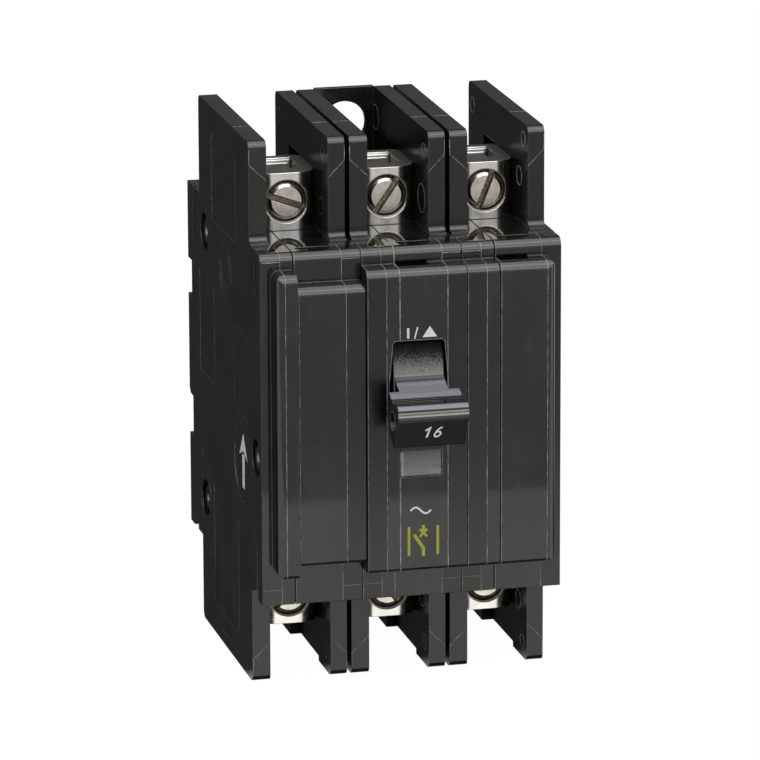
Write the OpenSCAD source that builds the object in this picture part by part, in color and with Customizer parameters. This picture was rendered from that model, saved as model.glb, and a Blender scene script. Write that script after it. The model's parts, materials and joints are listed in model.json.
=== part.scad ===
// Three-pole miniature circuit breaker with box-lug terminals.
// Frame: origin at the centre of the rear mounting face, +X to the right, +Z up, front towards -Y.
// Every pole is a base shell (left) and a cover shell (right) that meet on a joint plane.

/* [Case] */
// Width of one pole
pole_pitch = 19.05; // [18.9:0.05:19.5]
// Front of the shoulders, in front of the mounting face
shoulder_y = 64.5; // [64:0.5:66]
// Front of the raised nose
nose_y = 69; // [68.6:0.1:70]
// Half height of the terminal troughs' floors
floor_z = 32.6; // [32.4:0.1:33]
// Half height of the phase barriers
barrier_z = 51.8; // [50:0.2:54]
// Thickness of a shell's side wall
side_wall = 1.65; // [1.5:0.05:1.8]
// Where the joint plane of a pole's two shells lies, from the pole's left side
joint_x = 6.25; // [6.2:0.01:6.3]
// Gap between a pole's side and the pole boundary
shell_gap = 0.05; // [0.04:0.01:0.1]
// Gap between the two shells of a pole
joint_gap = 0.2; // [0.1:0.01:0.25]

/* [Barriers] */
// Thickness of a left barrier
left_barrier = 3.4; // [3.2:0.05:3.5]
// Left face of a right barrier, from the pole's left side
right_barrier_x = 15.05; // [15:0.01:15.1]
// Right face of a right barrier
right_barrier_end = 18.2; // [18:0.05:18.4]
// Front of the barriers
barrier_front = 55.3; // [54:0.1:56]
// Back of the barriers
barrier_back = 11; // [10.8:0.1:11.2]

/* [Handle] */
// Depth of the handle pivot
handle_y = 52; // [51.9:0.05:52.1]
// Height of the handle pivot
handle_z = 7.6; // [7.5:0.05:7.7]
// Radius of the drum that closes the handle slot
drum_r = 16.9; // [16.6:0.05:16.9]
// Width of the grip
grip_w = 13.3; // [12:0.1:14]
// Turn from off to on
handle_swing = 22; // [18:1:22]

/* [Terminals] */
// Width of a box lug
lug_w = 11.5; // [11.3:0.05:11.5]
// Depth of a box lug
lug_d = 15; // [14.8:0.1:15]
// Height of a box lug
lug_h = 10.9; // [10.6:0.1:11]
// Front of the lugs
lug_front = 46.4; // [46.2:0.1:46.6]
// Radius of a clamping screw
screw_r = 3.85; // [3.8:0.01:3.9]
// Angles of the upper screws' slots
line_slot_angles = [-20, 55, 68];
// Angles of the lower screws' slots
load_slot_angles = [35, -50, 12];

/* [Mounting] */
// Radius of the hole in the mounting ear
ear_hole_r = 4.2; // [4:0.1:4.4]
// Thickness of the mounting ear
ear_t = 1.2; // [1:0.1:1.5]
// Half height of the seat for a 35 mm rail
rail_z = 17.5; // [17.5:0.1:17.8]
// Depth of the rail seat
rail_d = 3.3; // [3:0.1:3.4]

/* [Hidden] */
$fn = 48;
eps = 0.02;
over = 1;

case_w = 3 * pole_pitch;
base_end = joint_x - joint_gap / 2;
cover_start = joint_x + joint_gap / 2;
body_start = shell_gap;
body_end = pole_pitch - shell_gap;
mid_x = (left_barrier + body_start + right_barrier_x) / 2;

// Depths and heights of the case, as (depth, height) in a side view
skirt_z = 34.3;
skirt_y = 60.5;
foot_z = 35.3;
shoulder_r = 1.8;
nose_r = 1.9;
nose_foot_r = 0.8;
nose_top = 29.5;
nose_bottom = -28.2;
plateau_top = 26.9;
plateau_bottom = -26.1;
plateau_y = nose_y - 0.6;
nose_side_r = 1.7;
nose_inset = 2;
wall = 2;
cavity_back = 5.4;
cavity_z = floor_z - 2.2;
nose_cavity_z = 26;

// Foot of a barrier: a concave fillet in front of it, on a low step
foot_fillet = 1.1;
foot_step = 0.3;
foot_end = barrier_front + foot_fillet + 0.3;

// Places of the rivets and of the marks on the sides, as (depth, height)
rivets = [[15.6, 26.05], [14.5, -26.9], [59.95, -7]];
rivet_r = 1.7;
rivet_hole_r = 1.8;
rivet_recess_r = 3.6;
rivet_recess = 1.2;
outer_recess = 1.7;
rivet_boss_r = 4.3;
front_boss_r = 2.6;

// Handle slot, which flares below its upper part, and trip window
slot_x = 0.28;
slot_w = 9.7;
slot_top = 15.85;
slot_bottom = -0.8;
slot_flare = 0.85;
flare_z = 6;
slot_corner = 0.5;
drum_t = 1.5;
handle_w = 9.4;
hub_r = 3.6;
pin_r = 1.5;
pin_clear = 0.05;
pin_fit = 0.01;
window_x = [-3.2, 4.65];
window_z = [-10, -5.2];
window_fit = 0.05;

// Mechanism: contact arms, cradles, trip bar
arm_pivot = [41, -12];
arm_swing = 18;
arm_pin_r = 1.2;
cradle_pivot = [44, 22];
trip_pivot = [28, -23.5];
trip_r = 2.2;
tie_pos = [44.5, -15.5];
tie_r = 1.4;
contact_z = 8;
contact_y = 23;

// Terminals
lug_wall = 3.9;
lug_back_wall = 2;
lug_corner_r = 3.6;
lug_back_r = 1.6;
lug_gap = 0.05;
lug_mid_z = floor_z + lug_gap + lug_h / 2;
way_w = 7;
strap_w = 6.6;
strap_t = 1;
strap_y = lug_front - lug_d + lug_back_wall + 0.1;
leaf_y = strap_y + strap_t + 0.7;
leaf_t = 1;
saddle_t = 1.4;
saddle_front = lug_front - lug_wall - 0.7;
screw_face = lug_front - 0.1;
screw_chamfer = 0.75;
counterbore_r = 4.15;
counterbore_d = 0.45;
neck_r = 1.5;
stake_r = 2;
stake_t = 0.4;
stake_fit = 0.06;

function pole_x(p) = -case_w / 2 + (p - 1) * pole_pitch;

// Extrudes a side view, drawn as (depth, height), from x0 to x1
module slab(x0, x1) {
    translate([x0, 0, 0]) rotate([90, 0, 90]) linear_extrude(x1 - x0) mirror([1, 0]) children();
}

// A cylinder along X at a (depth, height)
module rod(p, r, x0, x1) {
    translate([x0, -p[0], p[1]]) rotate([0, 90, 0]) cylinder(r = r, h = x1 - x0);
}

// A cylinder along Y, from depth y0 forward to depth y1
module stud(x, z, r, y0, y1) {
    translate([x, -y0, z]) rotate([90, 0, 0]) cylinder(r = r, h = y1 - y0);
}

// A box between two depths, with y0 the deeper one
module block(x0, x1, y0, y1, z0, z1) {
    translate([x0, -y1, z0]) cube([x1 - x0, y1 - y0, z1 - z0]);
}

// Rectangle with some corners rounded; the corners are named by their signs
module rounded(x0, y0, x1, y1, r, corners) {
    difference() {
        translate([x0, y0]) square([x1 - x0, y1 - y0]);
        for (c = corners) {
            corner = [c[0] > 0 ? x1 : x0, c[1] > 0 ? y1 : y0];
            centre = corner - [c[0] * r, c[1] * r];
            difference() {
                translate(centre + [c[0] > 0 ? 0 : -r - over, c[1] > 0 ? 0 : -r - over]) square(r + over);
                translate(centre) circle(r);
            }
        }
    }
}

// Side view of a shell without its nose and barriers
module case_outline() {
    difference() {
        union() {
            rounded(0, -floor_z, shoulder_y, floor_z, shoulder_r, [[1, 1]]);
            translate([skirt_y, -skirt_z]) square([shoulder_y - skirt_y, over + skirt_z]);
            translate([0, -foot_z]) square([10.7, over + foot_z]);
        }
        translate([-over, -rail_z]) square([rail_d + over, rail_z - 9.5]);
        translate([-over, 10.4]) square([rail_d + over, rail_z - 10.4]);
        polygon([[-over, -9.5 - eps], [1, -9.5 - eps], [0, -8.5], [-over, -8.5]]);
        translate([3.6, -foot_z - over]) square([3.5, over + foot_z - 34.4]);
    }
}

// Side view of a nose, with a wide radius along the top edge and a small one along the bottom edge
module nose_outline(top, bottom, front) {
    back = shoulder_y - 2 * wall;
    intersection() {
        rounded(back, bottom, front, top, nose_r, [[1, 1]]);
        rounded(back, bottom, front, top, nose_foot_r, [[1, -1]]);
    }
}

module cavity_outline() {
    translate([cavity_back, -cavity_z]) square([shoulder_y - wall - cavity_back, 2 * cavity_z]);
    translate([cavity_back, -nose_cavity_z]) square([nose_y - wall - cavity_back, 2 * nose_cavity_z]);
}

// Side view of an upper (s = 1) or lower (s = -1) barrier, with a foot where it meets the trough's floor
module barrier_outline(s) {
    mirror([0, s > 0 ? 0 : 1]) {
        rounded(barrier_back, floor_z - over, barrier_front, barrier_z, 1.4, [[1, 1], [-1, 1]]);
        difference() {
            translate([barrier_front - over, floor_z - over])
                square([foot_end - barrier_front + over, over + foot_step + foot_fillet]);
            translate([barrier_front + foot_fillet, floor_z + foot_step + foot_fillet]) circle(foot_fillet);
            translate([barrier_front + foot_fillet, floor_z + foot_step]) square(foot_fillet + over);
        }
    }
}

// Slots that let the straps out of the case
module strap_slots() {
    for (s = [-1, 1])
        block(mid_x - strap_w / 2 - 0.1, mid_x + strap_w / 2 + 0.1, strap_y - 0.1, strap_y + strap_t + 0.1,
              s > 0 ? 0 : -floor_z - over, s > 0 ? floor_z + over : 0);
}

// Hollows in the right barriers, beside the lugs
module barrier_pockets() {
    for (s = [-1, 1]) mirror([0, 0, s > 0 ? 0 : 1])
        block(right_barrier_x - 2 * over, right_barrier_x + 1.4, 22.4, 42, floor_z, floor_z + lug_h + 0.1);
}

// Marks on a shell's outer side: rivet recesses, moulding rings, a shallow disc and vent slots.
// They are cut to the left of x = 0, so a cover mirrors them.
module side_marks(recess) {
    for (p = rivets) rod(p, rivet_recess_r, -over, recess);
    ring([34.2, 22.95], 5.3, 4.9, 0.15);
    ring([34.2, 22.95], 3.6, 3.3, 0.15);
    ring([40.2, -29.4], 3.3, 3, 0.15);
    ring([14.5, -26.9], 5, 4.7, 0.15);
    ring([10.8, -18.7], 1, 0.8, 0.2);
    rod([48.1, -11], 7.5, -over, 0.15);
    for (v = [[5.4, 22.8, 32.6], [4.6, -34, -24.9]])
        block(-over, 0.8, v[0], v[0] + 1, v[1], v[2]);
    for (v = [[60, 23.7, 33], [60, -32.6, -24]])
        block(-over, 0.8, v[0], v[0] + 0.9, v[1], v[2]);
    side_panel(10.5, 24, -2.2, 17.8);
    outline(41.2, 54, -1.8, 14);
}

// Shallow rounded panel with a deeper groove along its front edge
module side_panel(y0, y1, z0, z1) {
    slab(-over, 0.12) rounded(y0, z0, y1, z1, 1.6, [[1, 1], [1, -1]]);
    slab(-over, 0.3) rounded(y1 - 0.9, z0 + 0.6, y1, z1 - 1, 0.44, [[1, 1], [1, -1], [-1, 1], [-1, -1]]);
}

// Fine engraved rectangle
module outline(y0, y1, z0, z1) {
    line = 0.15;
    slab(-over, 0.1) difference() {
        rounded(y0, z0, y1, z1, 1, [[-1, 1], [-1, -1]]);
        rounded(y0 + line, z0 + line, y1 + over, z1 - line, 0.9, [[-1, 1], [-1, -1]]);
    }
}

module ring(p, r_out, r_in, depth) {
    difference() {
        rod(p, r_out, -over, depth);
        rod(p, r_in, -2 * over, depth + over);
    }
}

module pin_holes(x0, x1) {
    rod(arm_pivot, arm_pin_r + pin_clear, x0, x1);
    rod(cradle_pivot, arm_pin_r + pin_clear, x0, x1);
}

module side_windows(x0, x1) {
    block(x0, x1, 40.6, 47.2, -19.2, -13.6);
    rod(trip_pivot, trip_r + 0.06, x0, x1);
}

module base_shell(p, nose_start, inner_side) {
    cavity_x = body_start + side_wall;
    translate([pole_x(p), 0, 0]) difference() {
        union() {
            slab(body_start, base_end) case_outline();
            for (s = [-1, 1]) slab(body_start, body_start + left_barrier) barrier_outline(s);
            base_nose(nose_start);
        }
        difference() {
            slab(cavity_x, base_end + over) cavity_outline();
            for (i = [0 : 2]) rod(rivets[i], boss_r(p, i), 0, base_end);
            if (p == 2) rod([handle_y, handle_z], hub_r, 0, 4.6);
            if (nose_start > side_wall) nose_skin(nose_start);
        }
        for (c = rivets) rod(c, rivet_hole_r, 0, base_end + over);
        pin_holes(1, cavity_x + over);
        translate([body_start, 0, 0]) side_marks(inner_side ? rivet_recess : outer_recess);
        if (!inner_side) translate([body_start, 0, 0]) {
            side_panel(22.5, 43.6, 30, 47.3);
            side_panel(22, 44, -46, -22);
            slab(-over, 0.1) translate([27, -49.6]) square([17.3, 0.15]);
        }
        if (inner_side) side_windows(-over, cavity_x + over);
        if (p == 2) {
            rod([handle_y, handle_z], pin_r + pin_fit, 3, 4.6 + over);
            handle_slot();
        }
        strap_slots();
    }
}

// The left edge of the nose stands in from the pole's side, so its skin does too
module nose_skin(x) {
    block(0, x + wall, shoulder_y - wall, nose_y, -nose_cavity_z - over, nose_cavity_z + over);
}

module base_nose(x0) {
    if (x0 > side_wall)
        intersection() {
            slab(x0, base_end) nose_outline(nose_top, nose_bottom, nose_y);
            translate([0, 0, -floor_z]) linear_extrude(2 * floor_z)
                rounded(x0, -nose_y, pole_pitch, -shoulder_y + 2 * wall, nose_side_r, [[-1, -1]]);
            rotate([90, 0, 0]) linear_extrude(nose_y)
                rounded(x0, nose_bottom, pole_pitch, nose_top, nose_side_r, [[-1, -1], [-1, 1]]);
        }
    else
        slab(x0, base_end) nose_outline(nose_top, nose_bottom, nose_y);
}

module cover_nose(p) {
    if (p == 1)
        slab(cover_start, body_end) nose_outline(plateau_top, plateau_bottom, plateau_y);
    else if (p == 2)
        slab(cover_start, body_end) nose_outline(nose_top, nose_bottom, nose_y);
    else
        intersection() {
            slab(cover_start, body_end - nose_inset) nose_outline(nose_top, nose_bottom, nose_y);
            translate([0, 0, -floor_z]) linear_extrude(2 * floor_z)
                rounded(0, -nose_y, body_end - nose_inset, -shoulder_y + 2 * wall, nose_side_r, [[1, -1]]);
            rotate([90, 0, 0]) linear_extrude(nose_y)
                rounded(0, nose_bottom, body_end - nose_inset, nose_top, nose_side_r, [[1, -1], [1, 1]]);
        }
}

// The front boss of the middle pole is small, to leave room for the handle's drum
function boss_r(p, i) = i == 2 && p == 2 ? front_boss_r : rivet_boss_r;

module cover_shell(p, inner_side) {
    cavity_end = body_end - side_wall;
    translate([pole_x(p), 0, 0]) difference() {
        union() {
            slab(cover_start, body_end) case_outline();
            slab(right_barrier_x, right_barrier_end) barrier_outline(1);
            slab(right_barrier_x, right_barrier_end) lower_cover_barrier();
            slab(right_barrier_x - 1.4, right_barrier_x + eps) intersection() {
                barrier_outline(-1);
                translate([0, -barrier_z]) square([27, barrier_z]);
            }
            cover_nose(p);
            if (p == 2) ear();
        }
        difference() {
            slab(cover_start - over, cavity_end) cavity_outline();
            for (i = [0 : 2]) rod(rivets[i], boss_r(p, i), cover_start, pole_pitch);
            if (p == 2) rod([handle_y, handle_z], hub_r, 14.9, pole_pitch);
            if (p == 3) block(body_end - nose_inset - wall, pole_pitch, shoulder_y - wall, nose_y,
                              -nose_cavity_z - over, nose_cavity_z + over);
            if (p == 1) block(0, pole_pitch, plateau_y - wall, nose_y, -cavity_z, cavity_z);
            if (p == 1) block(0, pole_pitch, shoulder_y - wall, nose_y, 24.9, cavity_z);
            if (p == 1) block(0, pole_pitch, shoulder_y - wall, nose_y, -cavity_z, -24.1);
        }
        for (c = rivets) rod(c, rivet_hole_r, 0, pole_pitch + over);
        pin_holes(cavity_end - over, pole_pitch - 1);
        translate([body_end, 0, 0]) mirror([1, 0, 0]) side_marks(inner_side ? rivet_recess : outer_recess);
        if (inner_side) side_windows(cavity_end - over, pole_pitch + over);
        if (p == 2) {
            rod([handle_y, handle_z], pin_r + pin_fit, 14.9 - over, 16.5);
            handle_slot();
            block(window_x[0] - pole_x(2), window_x[1] - pole_x(2),
                  shoulder_y - wall - over, nose_y + over, window_z[0], window_z[1]);
        }
        if (p > 1) block(cover_start - over, 12.5, shoulder_y - 0.8, shoulder_y + 2.2,
                         nose_top - 1.2, nose_top + 0.4);
        strap_slots();
        barrier_pockets();
        floor_slot();
    }
}

// The lower barrier of a cover steps up behind its front foot
module lower_cover_barrier() {
    difference() {
        barrier_outline(-1);
        translate([27, -barrier_z - over]) square([45.1 - 27, over + 1]);
    }
}

// Shallow round-ended slot behind the shoulder, in the trough's floor
module floor_slot() {
    block(cover_start + 1.2, 13.2, 60.2, 61.6, floor_z - 0.6, floor_z + over);
    translate([13.2, -60.9, floor_z - 0.6]) cylinder(r = 0.7, h = over);
}

module ear() {
    rear = barrier_back;
    difference() {
        block(body_start + left_barrier + 0.1, right_barrier_x + eps, rear, rear + ear_t,
              floor_z + 0.03, barrier_z);
        stud(mid_x, 44.9, ear_hole_r, rear - over, rear + ear_t + over);
    }
    block(cover_start, right_barrier_x, rear, rear + ear_t, floor_z - over, floor_z + over);
}

module handle_slot() {
    x = slot_x - pole_x(2);
    w = slot_w / 2;
    half = [[w - slot_corner, slot_top], [w, slot_top - slot_corner], [w + slot_flare, flare_z],
            [w + slot_flare, slot_bottom]];
    intersection() {
        block(0, pole_pitch, shoulder_y - wall - over, nose_y + over, slot_bottom, slot_top);
        rotate([90, 0, 0]) linear_extrude(nose_y + 2 * over)
            polygon(concat([for (q = half) [x + q[0], q[1]]],
                           [for (i = [len(half) - 1 : -1 : 0]) [x - half[i][0], half[i][1]]]));
    }
}

module pole_1_base() { color("#2b2b29") base_shell(1, nose_inset, false); }
module pole_2_base() { color("#30302d") base_shell(2, body_start, true); }
module pole_3_base() { color("#2b2b29") base_shell(3, body_start, true); }
module pole_1_cover() { color("#363633") cover_shell(1, true); }
module pole_2_cover() { color("#363633") cover_shell(2, true); }
module pole_3_cover() { color("#363633") cover_shell(3, false); }

// Rivets run through all the poles, with a head in the recess at each end
module case_rivets() {
    head_t = 0.9;
    x0 = pole_x(1) + body_start + outer_recess;
    x1 = pole_x(4) - shell_gap - outer_recess;
    color("silver") for (p = rivets) {
        rod(p, rivet_r, x0 - head_t + eps, x1 + head_t - eps);
        difference() {
            union() {
                rod(p, 3.1, x0 - head_t, x0);
                rod(p, 3.1, x1, x1 + head_t);
            }
            rod(p, 0.9, x0 - head_t - over, x0 - 0.4);
            rod(p, 0.9, x1 + 0.4, x1 + head_t + over);
        }
    }
}

// Side view of the grip, as (depth, height): lip, groove shelf, ridge, number face and tapering back
module grip_outline() {
    polygon([[72.6, 7.3], [73.6, 7.15], [74.6, 6.65], [75.3, 6.4], [78.8, 6.35], [79.5, 6.2], [80.15, 5.65],
             [80.25, 5.0], [80.0, 4.7], [80.35, 4.5], [80.35, 3.9], [80.1, 3.3], [77.95, -1.5], [77.4, -2.05],
             [76.4, -2.2], [74.2, -1.2], [72.8, 0.6]]);
}

// Sector of the drum between two angles above the horizontal
module sector(r, a0, a1) {
    far = 2 * r;
    intersection() {
        circle(r);
        polygon([[0, 0], [far * cos(a0), far * sin(a0)], [far * cos((a0 + a1) / 2), far * sin((a0 + a1) / 2)],
                 [far * cos(a1), far * sin(a1)]]);
    }
}

module handle() {
    x0 = slot_x - handle_w / 2;
    x1 = slot_x + handle_w / 2;
    web = 1.5;
    drum = [-50, 32];
    g0 = slot_x - grip_w / 2;
    g1 = slot_x + grip_w / 2;
    color("#2a2a2a") difference() {
        union() {
            difference() {
                slab(x0, x1) translate([handle_y, handle_z]) sector(drum_r, drum[0], drum[1]);
                slab(x0 + web, x1 - web) translate([handle_y, handle_z])
                    sector(drum_r - drum_t, drum[0] - 20, drum[1] + 20);
            }
            rod([handle_y, handle_z], hub_r, x0, x1);
            slab(x0 + 0.1, x1 - 0.05)
                polygon([[66, 10.6], [68.7, 9.4], [69.7, 8.6], [71.1, 7.8], [73, 7.25], [74, 2.4],
                         [69.1, 3.6], [66, 4.4]]);
            slab(g0, g1) grip_outline();
        }
        rod([handle_y, handle_z], pin_r + pin_clear, x0 - over, x1 + over);
        rod([75.7, 2.7], 1.75, g0 - over, g0 + 3);
        block(g0 - over, g0 + 8.4, 75.4, 77.2, 6, 8);
        translate([g0 + 8.4, -76.3, 6]) cylinder(r = 0.9, h = 2);
    }
}

module handle_pin() {
    color("silver") rod([handle_y, handle_z], pin_r, pole_x(2) + 3, pole_x(2) + 16.5);
}

module trip_window() {
    color("#8f9296") block(window_x[0] + window_fit, window_x[1] - window_fit, nose_y - wall, nose_y - 0.2,
                           window_z[0] + window_fit, window_z[1] - window_fit);
}

module trip_flag() {
    color("#c03a22") {
        block(-3.4, 4.5, 65.9, 66.7, -16.3, -10.9);
        block(-0.4, 1.4, 64.9, 65.9, -24, -10.9);
        block(-0.4, 1.4, 50, 65, -24, -22.5);
    }
}

// Trip bar with one carrier for each armature
module trip_bar() {
    color("#4a3a2c") {
        rod(trip_pivot, trip_r, pole_x(1) + 3, pole_x(4) - 3);
        for (p = [1 : 3])
            block(pole_x(p) + 6.1, pole_x(p) + 12.4, trip_pivot[0] + 0.2, trip_pivot[0] + 1.2,
                  trip_pivot[1] + 1, trip_pivot[1] + 5);
    }
}

module armature(p) {
    color("#a9a9ad") translate([pole_x(p), 0, 0])
        block(6.1, 12.4, trip_pivot[0] - 0.8, trip_pivot[0] + 0.2, trip_pivot[1] + 2.25, -6);
}

module armature_1() { armature(1); }
module armature_2() { armature(2); }
module armature_3() { armature(3); }

// Moves a piece of the contact arms from the closed place it is drawn in to the open place
module arm_open() {
    translate([0, -arm_pivot[0], arm_pivot[1]]) rotate([arm_swing, 0, 0])
        translate([0, arm_pivot[0], -arm_pivot[1]]) children();
}

module contact_arm(p) {
    x0 = mid_x - 2;
    x1 = mid_x + 2;
    color("#c07a45") translate([pole_x(p), 0, 0]) arm_open() difference() {
        union() {
            slab(x0, x1) difference() {
                union() {
                    polygon([[42.6, -10.2], [28.5, 3.5], [28.5, 11.5], [25, 11.5], [25, 1.5],
                             [39.2, -13.6]]);
                    polygon([[39.2, -13.6], [42.8, -10.4], [47, -14.2], [43.4, -17.6]]);
                    translate(arm_pivot) circle(2.8);
                }
                translate(tie_pos) circle(tie_r);
            }
            stud(mid_x, contact_z, 2.3, contact_y + 0.05, 25 + eps);
        }
        rod(arm_pivot, arm_pin_r + pin_clear, x0 - over, x1 + over);
    }
}

module contact_arm_1() { contact_arm(1); }
module contact_arm_2() { contact_arm(2); }
module contact_arm_3() { contact_arm(3); }

module tie_bar() {
    color("#4a3a2c") arm_open() rod(tie_pos, tie_r, pole_x(1) + 4, pole_x(4) - 4);
}

module pivot_pins() {
    color("silver") for (p = [1 : 3], pivot = [arm_pivot, cradle_pivot])
        rod(pivot, arm_pin_r, pole_x(p) + 1.1, pole_x(p) + pole_pitch - 1.1);
}

module cradle(p) {
    tip = [29.4, -5];
    color("#9a9aa0") translate([pole_x(p), 0, 0]) difference() {
        slab(12.6, 14.2) {
            polygon([cradle_pivot + [-2.4, 1.6], cradle_pivot + [2.4, -1.6],
                     tip + [1.6, -2.2], tip + [0, 0.6]]);
            translate(cradle_pivot) circle(3);
        }
        rod(cradle_pivot, arm_pin_r + pin_clear, 12, 15);
    }
}

module cradle_1() { cradle(1); }
module cradle_2() { cradle(2); }
module cradle_3() { cradle(3); }

// Close-wound tension spring, drawn as a ribbed tube that lies along its contact arm
module toggle_spring(p) {
    coils = 9;
    pitch = 1;
    r_in = 0.6;
    r_groove = 1;
    r_out = 1.3;
    x = pole_x(p) + 15.8;
    profile = concat([[r_in, 0]],
                     [for (i = [0 : coils - 1]) each [[r_groove, i * pitch], [r_out, (i + 0.5) * pitch]]],
                     [[r_groove, coils * pitch], [r_in, coils * pitch]]);
    color("silver") arm_open() translate([x, -arm_pivot[0] + 7, arm_pivot[1] + 7]) rotate([-45, 0, 0])
        rotate_extrude() polygon(profile);
}

module toggle_spring_1() { toggle_spring(1); }
module toggle_spring_2() { toggle_spring(2); }
module toggle_spring_3() { toggle_spring(3); }

module bimetal(p) {
    color("#b9a27a") translate([pole_x(p), 0, 0]) block(6.4, 12, 20.7, 21.9, -27.5, -4);
}

module bimetal_1() { bimetal(1); }
module bimetal_2() { bimetal(2); }
module bimetal_3() { bimetal(3); }

module magnet_yoke(p) {
    color("#7d7f86") translate([pole_x(p), 0, -17]) linear_extrude(9) difference() {
        translate([5, -24.5]) square([8.4, 5.1]);
        translate([6, -24.5 - over]) square([6.4, 3.9 + over]);
    }
}

module magnet_yoke_1() { magnet_yoke(1); }
module magnet_yoke_2() { magnet_yoke(2); }
module magnet_yoke_3() { magnet_yoke(3); }

// End of a strap inside its upper lug, bent back on itself into a leaf that the conductor lies against
module strap_end(back_z) {
    x0 = mid_x - strap_w / 2;
    x1 = mid_x + strap_w / 2;
    top = floor_z + lug_h - 0.1;
    bend = floor_z + 0.8;
    block(x0, x1, strap_y, strap_y + strap_t, back_z, top);
    block(x0, x1, strap_y, leaf_y + leaf_t, bend, bend + 1);
    block(x0 + 0.8, x1 - 0.8, leaf_y, leaf_y + leaf_t, bend, top - 0.2);
}

module line_strap(p) {
    x0 = mid_x - strap_w / 2;
    x1 = mid_x + strap_w / 2;
    jog = 26;
    back = contact_y - 1.5 - strap_t;
    color("#c4c6c4") translate([pole_x(p), 0, 0]) {
        strap_end(jog);
        block(x0, x1, back, strap_y + strap_t, jog, jog + strap_t);
        block(x0, x1, back, back + strap_t, contact_z - 4, jog + strap_t);
        stud(mid_x, contact_z, 2.6, contact_y - 1.5 - eps, contact_y);
    }
}

module line_strap_1() { line_strap(1); }
module line_strap_2() { line_strap(2); }
module line_strap_3() { line_strap(3); }

module load_strap(p) {
    jog = 27.5;
    color("#c4c6c4") translate([pole_x(p), 0, 0]) mirror([0, 0, 1]) {
        strap_end(jog);
        block(mid_x - strap_w / 2, mid_x + strap_w / 2, 20.6, strap_y + strap_t, jog, jog + strap_t);
    }
}

module load_strap_1() { load_strap(1); }
module load_strap_2() { load_strap(2); }
module load_strap_3() { load_strap(3); }

// Steel plates of the arc chutes, with a notch that the arm's tip points into
module arc_plates() {
    color("#8a8d92") for (p = [1 : 3], z = [17 : 2 : 23])
        translate([pole_x(p), 0, z]) linear_extrude(0.8) difference() {
            translate([5.2, -36]) square([8.1, 12.2]);
            polygon([[7.2, -36 - over], [11.2, -36 - over], [9.2, -29]]);
        }
}

module arc_sides() {
    color("#a8743f") for (p = [1 : 3], x = [4.4, 13.3])
        translate([pole_x(p), 0, 0]) block(x, x + 0.8, 23.8, 36, 16, 25);
}

// Flexible braids between the bimetals and the arms' hubs
module shunt_braids() {
    color("#b87333") for (p = [1 : 3]) translate([pole_x(p), 0, 0]) {
        slab(4.7, 5.9) polygon([[20.7, -4.2], [33, -4.2], [38.8, -9.4], [39.4, -11], [38.4, -12.2],
                                [32.4, -6.8], [20.7, -7.2]]);
        block(5.9 - eps, 6.4, 20.7, 21.9, -7, -5);
        block(5.9 - eps, 6.9, 38.4, 39.4, -11.7, -10.6);
    }
}

// Box lug, drawn for the upper terminals
module lug(p, s, tint) {
    x0 = mid_x - lug_w / 2;
    y0 = lug_front - lug_d;
    z0 = floor_z + lug_gap;
    color(tint) translate([pole_x(p), 0, 0]) mirror([0, 0, s > 0 ? 0 : 1]) difference() {
        translate([0, 0, z0]) linear_extrude(lug_h) intersection() {
            rounded(x0, -lug_front, x0 + lug_w, -y0, lug_corner_r, [[-1, -1], [1, -1]]);
            rounded(x0, -lug_front, x0 + lug_w, -y0, lug_back_r, [[-1, 1], [1, 1]]);
        }
        translate([0, 0, z0 - over]) linear_extrude(lug_h + 2 * over)
            rounded(mid_x - way_w / 2, lug_wall - lug_front, mid_x + way_w / 2, -y0 - lug_back_wall,
                    1.5, [[-1, -1], [1, -1]]);
        stud(mid_x, lug_mid_z, screw_r + 0.07, y0 + lug_d / 2, lug_front + over);
        stud(mid_x, lug_mid_z, counterbore_r, lug_front - counterbore_d, lug_front + over);
    }
}

module line_lug_1() { lug(1, 1, "#c4c6c4"); }
module line_lug_2() { lug(2, 1, "#c4c6c4"); }
module line_lug_3() { lug(3, 1, "#c4c6c4"); }
module load_lug_1() { lug(1, -1, "#c4c6c4"); }
module load_lug_2() { lug(2, -1, "#c4c6c4"); }
module load_lug_3() { lug(3, -1, "#c4c6c4"); }

// Pressure plate that the screw's tip is staked into, with a tab towards the mouth of the lug
module saddle(p, s) {
    x0 = mid_x - way_w / 2 + 0.2;
    x1 = mid_x + way_w / 2 - 0.2;
    rear = saddle_front - saddle_t;
    color("#b8b9b6") translate([pole_x(p), 0, s * lug_mid_z]) mirror([0, 0, s > 0 ? 0 : 1]) difference() {
        union() {
            block(x0, x1, rear, saddle_front, -4, 4);
            block(x0 + 0.9, x1 - 1.7, rear, saddle_front, 4 - eps, lug_h / 2 - 0.2);
        }
        stud(mid_x, 0, neck_r + stake_fit, rear - over, saddle_front + over);
        stud(mid_x, 0, stake_r + stake_fit, rear - over, rear + stake_t + stake_fit);
    }
}

module line_saddle_1() { saddle(1, 1); }
module line_saddle_2() { saddle(2, 1); }
module line_saddle_3() { saddle(3, 1); }
module load_saddle_1() { saddle(1, -1); }
module load_saddle_2() { saddle(2, -1); }
module load_saddle_3() { saddle(3, -1); }

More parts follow.
